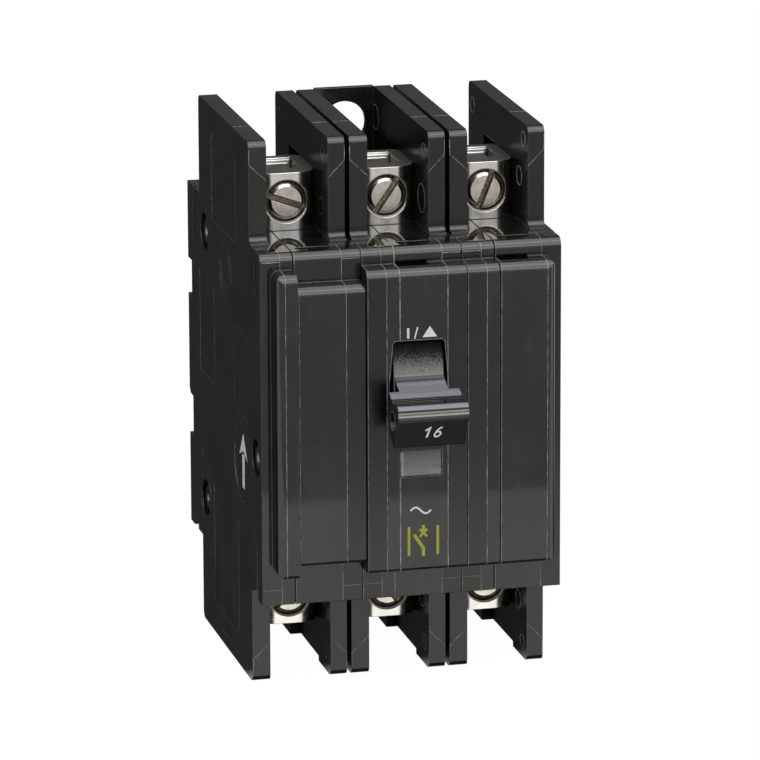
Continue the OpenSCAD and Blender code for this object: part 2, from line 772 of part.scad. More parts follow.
// Slotted clamping screw with a chamfered face and a turned-down tip staked into the saddle
module screw(p, s, slot_angle) {
    rear = saddle_front - saddle_t;
    start = saddle_front + 0.02;
    face = screw_face - start;
    slot_t = 1.2;
    slot_d = 1.2;
    color("#b3a795") translate([pole_x(p) + mid_x, 0, s * lug_mid_z]) {
        difference() {
            translate([0, -start, 0]) rotate([90, 0, 0]) rotate_extrude()
                polygon([[0, 0], [screw_r, 0], [screw_r, face - screw_chamfer],
                         [screw_r - screw_chamfer, face], [0, face]]);
            rotate([0, -slot_angle, 0])
                block(-screw_r - over, screw_r + over, screw_face - slot_d, screw_face + over,
                      -slot_t / 2, slot_t / 2);
        }
        stud(0, 0, neck_r, rear + 0.1, saddle_front + 0.1);
        stud(0, 0, stake_r, rear, rear + stake_t);
    }
}

module line_screw_1() { screw(1, 1, line_slot_angles[0]); }
module line_screw_2() { screw(2, 1, line_slot_angles[1]); }
module line_screw_3() { screw(3, 1, line_slot_angles[2]); }
module load_screw_1() { screw(1, -1, load_slot_angles[0]); }
module load_screw_2() { screw(2, -1, load_slot_angles[1]); }
module load_screw_3() { screw(3, -1, load_slot_angles[2]); }

pole_1_base();
pole_2_base();
pole_3_base();
pole_1_cover();
pole_2_cover();
pole_3_cover();
case_rivets();
handle();
handle_pin();
trip_window();
trip_flag();
trip_bar();
tie_bar();
pivot_pins();
contact_arm_1();
contact_arm_2();
contact_arm_3();
cradle_1();
cradle_2();
cradle_3();
toggle_spring_1();
toggle_spring_2();
toggle_spring_3();
bimetal_1();
bimetal_2();
bimetal_3();
magnet_yoke_1();
magnet_yoke_2();
magnet_yoke_3();
armature_1();
armature_2();
armature_3();
line_strap_1();
line_strap_2();
line_strap_3();
load_strap_1();
load_strap_2();
load_strap_3();
arc_plates();
arc_sides();
shunt_braids();
line_lug_1();
line_lug_2();
line_lug_3();
load_lug_1();
load_lug_2();
load_lug_3();
line_saddle_1();
line_saddle_2();
line_saddle_3();
load_saddle_1();
load_saddle_2();
load_saddle_3();
line_screw_1();
line_screw_2();
line_screw_3();
load_screw_1();
load_screw_2();
load_screw_3();
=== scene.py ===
"""Looks for the three-pole miniature circuit breaker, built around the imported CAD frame."""
import json
import math
import random

import bmesh
import bpy
from mathutils import Matrix, Vector

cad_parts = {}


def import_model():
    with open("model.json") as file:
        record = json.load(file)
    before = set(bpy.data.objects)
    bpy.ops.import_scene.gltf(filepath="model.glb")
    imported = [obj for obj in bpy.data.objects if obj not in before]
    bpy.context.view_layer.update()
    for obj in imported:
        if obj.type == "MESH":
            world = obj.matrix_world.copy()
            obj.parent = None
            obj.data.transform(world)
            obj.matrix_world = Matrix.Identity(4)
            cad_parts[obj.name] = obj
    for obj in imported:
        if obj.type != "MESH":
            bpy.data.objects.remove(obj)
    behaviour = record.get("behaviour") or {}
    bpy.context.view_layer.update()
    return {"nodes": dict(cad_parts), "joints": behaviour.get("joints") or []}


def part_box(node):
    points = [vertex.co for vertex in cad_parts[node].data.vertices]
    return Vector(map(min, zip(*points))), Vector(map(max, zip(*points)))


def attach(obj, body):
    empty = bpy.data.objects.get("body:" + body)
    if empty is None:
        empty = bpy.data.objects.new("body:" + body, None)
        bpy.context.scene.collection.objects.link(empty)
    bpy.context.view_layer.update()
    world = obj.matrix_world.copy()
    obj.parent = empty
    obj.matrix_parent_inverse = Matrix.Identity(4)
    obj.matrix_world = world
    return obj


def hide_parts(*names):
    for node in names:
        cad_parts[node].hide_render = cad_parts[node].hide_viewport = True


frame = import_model()

MM = 0.001
POLES = (1, 2, 3)

# ---------------------------------------------------------------- places, most of them from the frame
case_lo, case_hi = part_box("pole_1_base")
case_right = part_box("pole_3_cover")[1].x
pitch = (case_right - case_lo.x) / 3
nose_y = case_lo.y
shoulder_y = nose_y + 4.5 * MM
barrier_y = nose_y + 13.7 * MM
barrier_top = case_hi.z
floor_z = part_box("line_lug_1")[0].z - 0.05 * MM
window_lo, window_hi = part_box("trip_window")
lug_lo, lug_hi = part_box("line_lug_1")
lug_x, lug_z, lug_front = (lug_lo.x + lug_hi.x) / 2, (lug_lo.z + lug_hi.z) / 2, lug_lo.y
handle_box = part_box("handle")
grip_front = handle_box[0].y
handle_middle = (handle_box[0].x + handle_box[1].x) / 2
handle_pivot = next(j for j in frame["joints"] if j["name"] == "handle_turn")["pos_m"]
drum_radius = 16.9 * MM

# Distances from a pole's left side to the raised lines on its front, and to its right inner face.
LEFT_LINE = 3.75 * MM
RIGHT_LINE = 15.3 * MM
INNER_FACE = 15.05 * MM
# Radii in the side outline of the shells' fronts, and the height of their lower end.
SHOULDER_R, NOSE_R, NOSE_FOOT_R = 1.8 * MM, 1.9 * MM, 0.8 * MM
SKIRT_END = -34.2 * MM
# Centres (y, z) of the rivets, in millimetres.
RIVETS = ((-15.6, 26.05), (-14.5, -26.9), (-59.95, -7.0))


def pole_left(p):
    """Left side of a pole."""
    return case_lo.x + (p - 1) * pitch


# ---------------------------------------------------------------- node helpers
class Shader:
    """A material with a principled surface, and short calls to add and join nodes."""

    def __init__(self, name):
        self.mat = bpy.data.materials.new(name)
        self.mat.use_nodes = True
        self.tree = self.mat.node_tree
        self.surface = self.tree.nodes["Principled BSDF"]
        self.place = self.add("ShaderNodeTexCoord").outputs["Object"]

    def add(self, kind, **settings):
        made = self.tree.nodes.new(kind)
        for key, value in settings.items():
            setattr(made, key, value)
        return made

    def feed(self, socket, value):
        if isinstance(value, bpy.types.NodeSocket):
            self.tree.links.new(value, socket)
        else:
            socket.default_value = value

    def set(self, **values):
        for key, value in values.items():
            self.feed(self.surface.inputs[key.replace("_", " ")], value)

    def math(self, operation, a, b=0.0, clamp=False):
        made = self.add("ShaderNodeMath", operation=operation, use_clamp=clamp)
        self.feed(made.inputs[0], a)
        self.feed(made.inputs[1], b)
        return made.outputs[0]

    def plus(self, a, b):
        return self.math("ADD", a, b)

    def minus(self, a, b):
        return self.math("SUBTRACT", a, b)

    def times(self, a, b):
        return self.math("MULTIPLY", a, b)

    def most(self, a, b):
        return self.math("MAXIMUM", a, b)

    def size(self, a):
        return self.math("ABSOLUTE", a)

    def reach(self, a, b):
        """Distance from the origin of a point with coordinates a and b."""
        return self.math("SQRT", self.plus(self.times(a, a), self.times(b, b)))

    def position(self):
        return self.split(self.place)

    def facing(self):
        return self.split(self.add("ShaderNodeNewGeometry").outputs["Normal"])

    def scaled(self, size, shift=(0, 0, 0)):
        """Coordinates in units of size, which is in millimetres per axis."""
        made = self.add("ShaderNodeMapping")
        self.feed(made.inputs["Vector"], self.place)
        made.inputs["Scale"].default_value = [1 / (s * MM) for s in size]
        made.inputs["Location"].default_value = shift
        return made.outputs[0]

    def noise(self, size, detail=4.0, rough=0.55, shift=(0, 0, 0)):
        made = self.add("ShaderNodeTexNoise")
        self.feed(made.inputs["Vector"], self.scaled(size, shift))
        made.inputs["Scale"].default_value = 1
        made.inputs["Detail"].default_value = detail
        made.inputs["Roughness"].default_value = rough
        return made.outputs["Fac"]

    def ramp(self, value, low, high, out_low=0.0, out_high=1.0):
        made = self.add("ShaderNodeMapRange")
        for key, v in (("Value", value), ("From Min", low), ("From Max", high),
                       ("To Min", out_low), ("To Max", out_high)):
            self.feed(made.inputs[key], v)
        return made.outputs[0]

    def mix(self, share, a, b):
        made = self.add("ShaderNodeMix", data_type="RGBA")
        self.feed(made.inputs["Factor"], share)
        self.feed(made.inputs["A"], a)
        self.feed(made.inputs["B"], b)
        return made.outputs["Result"]

    def split(self, vector):
        made = self.add("ShaderNodeSeparateXYZ")
        self.feed(made.inputs[0], vector)
        return made.outputs

    def edges(self, radius):
        """Mask of convex and concave edges, from how far a bevelled normal leaves the true one."""
        soft = self.add("ShaderNodeBevel", samples=6)
        soft.inputs["Radius"].default_value = radius * MM
        true = self.add("ShaderNodeNewGeometry").outputs["Normal"]
        dot = self.add("ShaderNodeVectorMath", operation="DOT_PRODUCT")
        self.feed(dot.inputs[0], soft.outputs[0])
        self.feed(dot.inputs[1], true)
        return self.ramp(dot.outputs["Value"], 0.995, 0.80)

    def hairlines(self, length, tilt):
        """Sparse short hairlines: stretched noise, turned by tilt and cut off high."""
        thin, cut = 0.08, 0.70
        turn = self.add("ShaderNodeMapping")
        self.feed(turn.inputs["Vector"], self.place)
        turn.inputs["Rotation"].default_value = (tilt * 0.3, tilt, tilt * 0.5)
        turn.inputs["Scale"].default_value = [1 / (size * MM) for size in (thin, thin, length)]
        lines = self.add("ShaderNodeTexNoise")
        self.feed(lines.inputs["Vector"], turn.outputs[0])
        lines.inputs["Scale"].default_value = 1
        lines.inputs["Detail"].default_value = 1
        sparse = self.ramp(self.noise((6, 6, 6), 2), 0.54, 0.66)
        return self.times(self.ramp(lines.outputs["Fac"], cut, cut + 0.05), sparse)

    def bump(self, height, strength, distance=0.02, bevel=0.0):
        made = self.add("ShaderNodeBump")
        made.inputs["Strength"].default_value = strength
        made.inputs["Distance"].default_value = distance * MM
        self.feed(made.inputs["Height"], height)
        if bevel:
            soft = self.add("ShaderNodeBevel", samples=6)
            soft.inputs["Radius"].default_value = bevel * MM
            self.feed(made.inputs["Normal"], soft.outputs[0])
        self.set(Normal=made.outputs[0])


def rgb(value, tint=(1, 1, 1)):
    return [value * t for t in tint] + [1]


# ---------------------------------------------------------------- materials
def black_plastic(s, tone, rough, wear):
    """Colour and roughness of black moulded plastic, with the grain and the flow streaks that bump it:
    cloudy tone, hairlines, scuffs, dust and pale worn edges."""
    cloud = s.noise((9, 9, 13), 5)
    streak = s.noise((0.8, 0.8, 26), 3)
    grain = s.noise((0.3, 0.3, 0.3), 3)
    dark = rgb(tone * 0.5, (1.0, 1.0, 0.84))
    pale = rgb(tone * 2.3, (1.0, 0.99, 0.88))
    share = s.plus(s.times(cloud, 0.65), s.times(streak, 0.2))
    share = s.plus(share, s.times(s.noise((2.2, 2.2, 3.0), 4, 0.65), 0.15))
    body = s.mix(s.ramp(share, 0.40, 0.64), dark, pale)
    gloss = s.ramp(cloud, 0.3, 0.7, rough - 0.01, rough + 0.03)
    body = s.mix(s.ramp(grain, 0.45, 0.75, 0, 0.5), body, rgb(tone * 3.2, (1, 1, 0.9)))
    for length, tilt in ((1.8, 0.12), (1.3, 0.9), (1.5, -0.7)):
        body = s.mix(s.times(s.hairlines(length, tilt), 0.22), body, rgb(0.14))
    scuff = s.times(s.ramp(s.noise((1.6, 1.6, 2.6), 6, 0.8), 0.62, 0.72),
                    s.ramp(s.noise((0.25, 0.25, 0.25), 3, 0.8), 0.48, 0.62))
    body = s.mix(s.times(scuff, 0.30), body, rgb(0.12))
    dust = s.ramp(s.noise((0.22, 0.22, 0.22), 1), 0.735, 0.78)
    body = s.mix(s.times(dust, 0.5), body, rgb(0.16, (1, 0.99, 0.93)))
    rub = s.times(s.edges(0.16), s.ramp(s.noise((0.6, 0.6, 1.0), 4, 0.75), 0.38, 0.58))
    body = s.mix(s.times(rub, wear), body, rgb(0.26, (0.97, 0.99, 1.0)))
    gloss = s.plus(gloss, s.times(rub, 0.25))
    return body, gloss, grain, streak


def finish_plastic(s, body, gloss, grain, streak):
    s.set(Base_Color=body, Roughness=gloss)
    s.bump(s.plus(grain, s.times(streak, 0.5)), 0.03, 0.006, bevel=0.22)
    return s.mat


def case_plastic(name):
    """Case shells: glossy fronts with duller bluish strips beside the raised lines, satin sides, polished
    trough floors, and barriers that mirror little on the sides between the poles."""
    s = Shader(name)
    tone, rough, side_rough = 0.008, 0.045, 0.27
    body, gloss, grain, streak = black_plastic(s, tone, rough, 0.75)
    x, _, z = s.position()
    facing_x, facing_y, facing_z = s.facing()
    across = s.math("FRACT", s.math("DIVIDE", s.minus(x, case_lo.x), pitch))
    across = s.times(across, pitch)
    side_face = s.ramp(s.size(facing_x), 0.9, 0.97)
    gloss = s.ramp(side_face, 0, 1, gloss, side_rough)
    front_face = s.ramp(s.size(facing_y), 0.9, 0.97)
    strip = s.most(s.ramp(across, LEFT_LINE, LEFT_LINE - 0.05 * MM),
                   s.ramp(across, RIGHT_LINE, RIGHT_LINE + 0.05 * MM))
    right_of_low_nose = s.ramp(x, -16 * MM, -15 * MM)
    strip = s.times(strip, s.times(front_face, right_of_low_nose))
    body = s.mix(strip, body, rgb(tone * 0.5, (0.75, 0.9, 1.15)))
    gloss = s.ramp(strip, 0, 1, gloss, rough + 0.16)
    level = s.ramp(s.size(facing_z), 0.97, 0.995)
    on_floor = s.ramp(s.size(s.minus(s.size(z), floor_z)), 0.5 * MM, 0.3 * MM)
    gloss = s.ramp(s.times(level, on_floor), 0, 1, gloss, 0.05)
    inner = s.times(side_face, s.ramp(x, case_lo.x + 0.5 * MM, case_lo.x + MM))
    s.set(IOR=s.ramp(inner, 0, 1, 1.5, 1.22))
    return finish_plastic(s, body, gloss, grain, streak)


def grip_plastic(name):
    """Handle: speckled matt drum whose pale specks grow denser towards its lower part, a painted highlight;
    upper faces beyond the drum painted blue-grey, a painted reflection of the overhead light; a painted cream
    highlight along the front edge, painted shade on the step under it, and a plain number face."""
    s = Shader(name)
    body, gloss, grain, streak = black_plastic(s, 0.006, 0.17, 0.4)
    _, y, z = s.position()
    out = s.reach(s.minus(y, handle_pivot[1]), s.minus(z, handle_pivot[2]))
    drum = s.ramp(s.size(s.minus(out, drum_radius)), 0.3 * MM, 0.1 * MM)
    # Pale specks grow denser towards the drum's lower part: a painted highlight laid over the dust specks.
    low = s.ramp(z, 14.4 * MM, 9.6 * MM)
    speck = s.plus(s.noise((0.28, 0.28, 0.2), 4, 0.75), s.times(low, 0.42))
    speck = s.times(s.ramp(speck, 0.62, 0.92), drum)
    body = s.mix(speck, body, rgb(0.36, (1.0, 0.96, 0.90)))
    gloss = s.ramp(drum, 0, 1, gloss, 0.42)
    # The mask named worn is a painted reflection: upward faces beyond the drum, except the shelf, are painted
    # blue-grey as the overhead light would mirror in them.
    upward = s.times(s.ramp(s.facing()[2], 0.25, 0.6),
                     s.ramp(out, drum_radius + 0.8 * MM, drum_radius + 1.5 * MM))
    shelf = s.times(s.ramp(y, grip_front + 5.6 * MM, grip_front + 5.25 * MM),
                    s.ramp(y, grip_front + 1.05 * MM, grip_front + 1.35 * MM))
    worn = s.times(upward, s.minus(1.0, shelf))
    body = s.mix(s.times(worn, s.ramp(grain, 0.25, 0.6, 0.65, 1.0)), body, rgb(0.25, (0.90, 0.95, 1.06)))
    gloss = s.ramp(worn, 0, 1, gloss, 0.4)
    # A cream band along the top of the grip's front edge: a painted highlight.
    ahead = s.ramp(y, grip_front + 0.45 * MM, grip_front + 0.2 * MM)
    edge = s.times(ahead, s.times(s.ramp(z, 4.25 * MM, 4.35 * MM), s.ramp(z, 5.3 * MM, 5.15 * MM)))
    body = s.mix(s.times(edge, s.ramp(grain, 0.3, 0.5, 0.6, 1.0)), body, rgb(0.44, (1.0, 0.95, 0.85)))
    step = s.times(ahead, s.times(s.ramp(z, 3.2 * MM, 3.3 * MM), s.ramp(z, 4.4 * MM, 4.3 * MM)))
    body = s.mix(step, body, rgb(0.06))
    number_face = s.times(s.ramp(y, grip_front + 2.95 * MM, grip_front + 2.55 * MM),
                          s.ramp(z, 3.4 * MM, 3.1 * MM))
    body = s.mix(number_face, body, rgb(0.028, (1.0, 0.99, 0.95)))
    s.set(IOR=s.ramp(drum, 0, 1, 1.5, 1.12))
    return finish_plastic(s, body, gloss, grain, streak)


def flash(name):
    """Pale ragged moulding flash: bluish grey, breaking up into darker stretches."""
    s = Shader(name)
    broken = s.ramp(s.noise((0.5, 0.5, 1.6), 4, 0.7), 0.36, 0.62)
    s.set(Base_Color=s.mix(broken, rgb(0.08), rgb(0.50, (0.94, 0.98, 1.0))), Roughness=0.5)
    s.bump(s.noise((0.2, 0.2, 0.2), 3), 0.3, 0.02)
    return s.mat


def plated(name, base, rough, pitted):
    """Plated steel lug: bright flat fronts, sandy cast tops and bottoms, brown residue round the screw."""
    s = Shader(name)
    well_radius = 4.6 * MM
    cloud = s.noise((2.4, 2.4, 2.4), 5, 0.6)
    fine = s.noise((0.16, 0.16, 0.16), 3)
    sand = s.noise((0.32, 0.32, 0.32), 4, 0.75)
    x, y, z = s.position()
    level = s.ramp(s.size(s.facing()[2]), 0.75, 0.95)
    tone = s.mix(s.ramp(cloud, 0.38, 0.68), rgb(0.82, base), rgb(1, base))
    cast = s.mix(s.ramp(sand, 0.40, 0.62), rgb(0.12, base), rgb(0.50, base))
    tone = s.mix(level, tone, cast)
    pits = s.ramp(s.noise((0.45, 0.45, 0.45), 3), 0.62, 0.74)
    tone = s.mix(s.times(pits, pitted), tone, rgb(0.35, base))
    poles_off = s.math("DIVIDE", s.minus(x, lug_x), pitch)
    aside = s.times(s.minus(poles_off, s.math("ROUND", poles_off)), pitch)
    out = s.reach(aside, s.minus(s.size(z), lug_z))
    deep = s.ramp(y, lug_front + 0.15 * MM, lug_front + 0.4 * MM)
    well = s.times(deep, s.ramp(out, well_radius + 0.05 * MM, well_radius - 0.05 * MM))
    well = s.times(well, s.minus(1.0, level))
    tone = s.mix(s.times(well, s.ramp(sand, 0.3, 0.6, 0.55, 0.95)), tone, rgb(0.17, (1.0, 0.80, 0.56)))
    # The lug's edges are painted near white: a painted highlight.
    tone = s.mix(s.times(s.edges(0.12), 0.5), tone, rgb(0.92, (1, 1, 0.98)))
    smooth = s.ramp(cloud, 0.3, 0.7, rough, rough + 0.10)
    s.set(Base_Color=tone, Metallic=1.0, Roughness=s.ramp(s.most(level, well), 0, 1, smooth, 0.5))
    height = s.plus(s.times(fine, 0.3), s.times(s.times(sand, level), 1.6))
    s.bump(height, 0.25, 0.03, bevel=0.16)
    return s.mat


def turned(name, centre, radius, face_y):
    """Nickel screw: turning rings on the face, brown residue in the slot and at the rim."""
    s = Shader(name)
    ring_width = 0.16 * MM
    shift = s.add("ShaderNodeVectorMath", operation="SUBTRACT")
    s.feed(shift.inputs[0], s.place)
    shift.inputs[1].default_value = centre
    x, _, z = s.split(shift.outputs[0])
    out = s.reach(x, z)
    wobble = s.times(s.noise((0.8, 0.8, 0.8), 2), 0.25 * MM)
    ring = s.math("SINE", s.times(s.plus(out, wobble), 2 * math.pi / ring_width))
    cloud = s.noise((1.2, 1.2, 1.2), 4)
    bright = s.mix(s.ramp(cloud, 0.35, 0.7), rgb(0.50, (1.0, 0.93, 0.83)), rgb(0.66, (1.0, 0.95, 0.87)))
    bright = s.mix(s.ramp(ring, -0.2, 1.0, 0, 0.22), bright, rgb(0.24, (1.0, 0.90, 0.78)))
    below = s.ramp(s.minus(s.position()[1], face_y), 0.25 * MM, 0.9 * MM)
    slot = s.times(below, s.ramp(out, radius * 0.99, radius * 0.94))
    rim = s.ramp(out, radius * 0.95, radius * 0.99)
    grime = s.most(slot, s.times(rim, 0.85))
    patchy = s.ramp(s.noise((0.5, 0.5, 0.5), 3), 0.30, 0.52, 0.6, 1.0)
    grime = s.math("MULTIPLY", grime, patchy, clamp=True)
    s.set(Base_Color=s.mix(grime, bright, rgb(0.12, (1.0, 0.80, 0.56))), Metallic=1.0,
          Roughness=s.ramp(grime, 0, 1, 0.22, 0.5))
    s.bump(s.plus(s.times(ring, 0.4), s.noise((0.1, 0.1, 0.1), 2)), 0.12, 0.010, bevel=0.08)
    return s.mat


def metal(name, base, rough, bevel=0.12):
    """Plain rolled or drawn metal for the inner parts: brushed along Z with light stains."""
    s = Shader(name)
    brush = s.noise((0.25, 0.25, 9), 3)
    stain = s.noise((4, 4, 4), 4)
    tone = s.mix(s.ramp(stain, 0.4, 0.7), rgb(0.65, base), rgb(1, base))
    s.set(Base_Color=tone, Metallic=1.0, Roughness=s.ramp(brush, 0.3, 0.7, rough, rough + 0.15))
    s.bump(brush, 0.15, 0.015, bevel=bevel)
    return s.mat


def plain_plastic(name, base, rough):
    """Coloured moulded plastic or fibre for the inner parts."""
    s = Shader(name)
    cloud = s.noise((5, 5, 5), 4)
    tone = s.mix(s.ramp(cloud, 0.35, 0.7), rgb(0.75, base), rgb(1, base))
    s.set(Base_Color=tone, Roughness=s.ramp(cloud, 0.3, 0.7, rough, rough + 0.12))
    s.bump(s.noise((0.3, 0.3, 0.3), 3), 0.2, 0.02, bevel=0.15)
    return s.mat


def lens(name):
    """Frosted window plastic: grey above, paler and warmer towards its lower edge."""
    s = Shader(name)
    haze = s.noise((9, 9, 0.55), 4)
    x, _, z = s.position()
    low = s.ramp(z, window_hi.z - 1.2 * MM, window_lo.z + 0.5 * MM)
    field = s.mix(low, rgb(0.15, (1.0, 0.98, 1.0)), rgb(0.33, (1.0, 0.98, 0.95)))
    side = s.ramp(x, window_lo.x + 0.7 * MM, window_lo.x + 0.3 * MM)
    field = s.mix(s.times(side, 0.7), field, rgb(0.62))
    field = s.mix(s.ramp(haze, 0.45, 0.75, 0, 0.2), field, rgb(0.42, (1, 1, 1)))
    speck = s.ramp(s.noise((0.14, 0.14, 0.14), 1), 0.70, 0.76)
    field = s.mix(s.times(speck, 0.5), field, rgb(0.45))
    field = s.mix(s.times(s.edges(0.18), 0.55), field, rgb(0.50, (0.98, 0.98, 1.0)))
    s.set(Base_Color=field, Roughness=s.ramp(haze, 0.3, 0.7, 0.22, 0.34), IOR=1.49,
          Transmission_Weight=0.08)
    s.bump(s.noise((0.3, 0.3, 0.3), 2), 0.12, 0.02, bevel=0.1)
    return s.mat


def printed(name, colour, worn=0.7):
    """Pad-printed ink: slightly uneven cover."""
    s = Shader(name)
    cover = s.ramp(s.noise((0.22, 0.22, 0.22), 3), 0.28, 0.45)
    s.set(Base_Color=s.mix(cover, rgb(worn, colour), rgb(1, colour)), Roughness=0.5)
    s.bump(s.noise((0.2, 0.2, 0.2), 2), 0.1, 0.01)
    return s.mat


SHELL = case_plastic("case_black")
HANDLE = grip_plastic("handle_black")
FLASH = flash("flash_grey")
LUG = plated("tin_plate", (0.74, 0.725, 0.69), 0.16, 0.3)
SADDLE = plated("zinc_plate", (0.74, 0.73, 0.69), 0.2, 0.3)
TINNED = metal("tinned_copper", (0.88, 0.86, 0.82), 0.3, 0.35)
STEEL = metal("bright_steel", (0.55, 0.55, 0.56), 0.3)
SPRING = metal("spring_steel", (0.42, 0.42, 0.43), 0.35)
COPPER = metal("copper", (0.78, 0.42, 0.27), 0.3)
BIMETAL = metal("bimetal", (0.52, 0.45, 0.33), 0.35)
IRON = metal("dark_iron", (0.16, 0.16, 0.17), 0.4)
BROWN = plain_plastic("brown_insulator", (0.10, 0.06, 0.035), 0.45)
FIBRE = plain_plastic("vulcanised_fibre", (0.42, 0.20, 0.09), 0.6)
FLAG = plain_plastic("flag_orange", (0.62, 0.09, 0.03), 0.4)
LENS = lens("window_clear")
WHITE = printed("ink_white", (0.94, 0.96, 0.98), 0.85)
LIME = printed("ink_lime", (0.42, 0.44, 0.045))

CAD_LOOKS = [
    ("pole_", SHELL), ("handle_pin", STEEL), ("handle", HANDLE), ("case_rivets", IRON), ("trip_window", LENS),
    ("trip_flag", FLAG), ("trip_bar", BROWN), ("tie_bar", BROWN), ("pivot_pins", STEEL),
    ("contact_arm", COPPER), ("cradle", IRON), ("toggle_spring", SPRING), ("bimetal", BIMETAL),
    ("magnet_yoke", IRON), ("armature", IRON),
    ("line_strap", TINNED), ("load_strap", TINNED), ("arc_plates", IRON), ("arc_sides", FIBRE),
    ("shunt_braids", COPPER), ("line_lug", LUG), ("load_lug", LUG), ("line_saddle", SADDLE),
    ("load_saddle", SADDLE), ("line_screw", STEEL), ("load_screw", STEEL),
]


def paint(obj, material):
    obj.data.materials.clear()
    obj.data.materials.append(material)


for node_name, obj in frame["nodes"].items():
    paint(obj, next(m for prefix, m in CAD_LOOKS if node_name.startswith(prefix)))


# ---------------------------------------------------------------- mesh helpers
def new_piece(name, mesh_data, body, material, smooth=35):
    obj = bpy.data.objects.new(name, mesh_data)
    bpy.context.scene.collection.objects.link(obj)
    paint(obj, material)
    for face in obj.data.polygons:
        face.use_smooth = True
    obj.data.set_sharp_from_angle(angle=math.radians(smooth))
    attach(obj, body)
    return obj


def from_bmesh(name, bm):
    bmesh.ops.recalc_face_normals(bm, faces=bm.faces)
    data = bpy.data.meshes.new(name)
    bm.to_mesh(data)
    bm.free()
    return data


def lathe(bm, profile, centre, turn, segments):
    """Ring-shaped solid of revolution. profile lists (radius, height); turn maps the height axis from +Z."""
    angles = [2 * math.pi * k / segments for k in range(segments)]
    rings = [[bm.verts.new(turn @ Vector((radius * math.cos(a), radius * math.sin(a), height)) + centre)
              for a in angles] for radius, height in profile]
    for a, b in zip(rings, rings[1:]):
        for k in range(segments):
            bm.faces.new((a[k], a[(k + 1) % segments], b[(k + 1) % segments], b[k]))


def prism(bm, outline, place, low, high):
    """Closed prism. place maps outline points (u, v) and a height to space."""
    under = [bm.verts.new(place(u, v, low)) for u, v in outline]
    over = [bm.verts.new(place(u, v, high)) for u, v in outline]
    n = len(outline)
    for k in range(n):
        bm.faces.new((under[k], under[(k + 1) % n], over[(k + 1) % n], over[k]))
    bm.faces.new(over)
    bm.faces.new(list(reversed(under)))


def stroke(bm, points, width, place, low, high):
    """A line of even width along points (u, v), with mitred corners, as one closed prism."""
    left, right = [], []
    pts = [Vector(q) for q in points]
    for i, q in enumerate(pts):
        before = (q - pts[i - 1]).normalized() if i else (pts[1] - q).normalized()
        after = (pts[i + 1] - q).normalized() if i < len(pts) - 1 else before
        along = (before + after).normalized()
        side = Vector((-along.y, along.x)) * width / 2 / max(0.35, along.dot(before))
        left.append(tuple(q + side))
        right.append(tuple(q - side))
    prism(bm, left + list(reversed(right)), place, low, high)


def front_plane(y):
    """Places (x, z) in millimetres on a front face at y, with heights towards the viewer."""
    return lambda u, v, h: Vector((u * MM, y - h, v * MM))


def add_bevel(obj, width, angle, segments=2):
    soft = obj.modifiers.new("soft_edges", "BEVEL")
    soft.width = width * MM
    soft.segments = segments
    soft.limit_method = "ANGLE"
    soft.angle_limit = math.radians(angle)


def resample(points, step):
    """Points about one step apart along a polyline, keeping its corners."""
    out = [points[0]]
    for a, b in zip(points, points[1:]):
        n = max(1, round((b - a).length / step))
        out += [a.lerp(b, i / n) for i in range(1, n + 1)]
    return out


FLASH_SUNK = 0.05 * MM


def bead(bm, points, normal, width, height, rng, step=0.9 * MM):
    """Thin ragged ridge of moulding flash along a polyline.
    normal is one vector, or a function of the tangent."""
    path = resample(points, step)
    rings = []
    for i, p in enumerate(path):
        tangent = (path[min(i + 1, len(path) - 1)] - path[max(i - 1, 0)]).normalized()
        n = normal(tangent) if callable(normal) else normal
        across = tangent.cross(n).normalized()
        w = width * rng.uniform(0.6, 1.15) / 2
        h = height * rng.uniform(0.5, 1.1)
        p = p + across * rng.uniform(-0.12, 0.12) * width
        sink = n * FLASH_SUNK
        rings.append([bm.verts.new(p + across * w - sink), bm.verts.new(p + across * w * 0.35 + n * h),
                      bm.verts.new(p - across * w * 0.35 + n * h), bm.verts.new(p - across * w - sink)])
    for a, b in zip(rings, rings[1:]):
        for k in range(4):
            bm.faces.new((a[k], a[(k + 1) % 4], b[(k + 1) % 4], b[k]))
    bm.faces.new(rings[0])
    bm.faces.new(reversed(rings[-1]))


def arc(centre, radius, start, end, steps=6):
    """Points (y, z) on an arc; angles in degrees from -Y towards +Z."""
    out = []
    for i in range(steps + 1):
        a = math.radians(start + (end - start) * i / steps)
        out.append((centre[0] - radius * math.cos(a), centre[1] + radius * math.sin(a)))
    return out


def front_path(x, nose):
    """Line down the front of a shell at x: trough floor, shoulder, nose and skirt.
    nose is the height of its top, the height of its foot, and its front."""
    top, foot, y = nose
    line = [(shoulder_y + 5 * MM, floor_z)]
    line += arc((shoulder_y + SHOULDER_R, floor_z - SHOULDER_R), SHOULDER_R, 90, 0)
    line += [(shoulder_y, top)] + arc((y + NOSE_R, top - NOSE_R), NOSE_R, 90, 0)
    line += arc((y + NOSE_FOOT_R, foot + NOSE_FOOT_R), NOSE_FOOT_R, 0, -90, 4)
    line += [(shoulder_y, foot), (shoulder_y, SKIRT_END)]
    return [Vector((x, y, z)) for y, z in line]


def front_normal(tangent):
    """Outward normal of the front line, which runs from top to bottom."""
    return Vector((0, tangent.z, -tangent.y))


# ---------------------------------------------------------------- moulding flash
FULL_NOSE = (29.5 * MM, -28.2 * MM, nose_y)
LOW_NOSE = (26.9 * MM, -26.1 * MM, nose_y + 0.6 * MM)
FRONT = Vector((0, -1, 0))
SHELL_GAP = 0.2 * MM
SKIRT_LINES = {"line": 31.0 * MM, "load": -31.4 * MM}
SLOT_TOP = 15.95 * MM


def cover_nose(p):
    """Only the left-most cover has a lower nose; every base has the full one."""
    return LOW_NOSE if p == 1 else FULL_NOSE


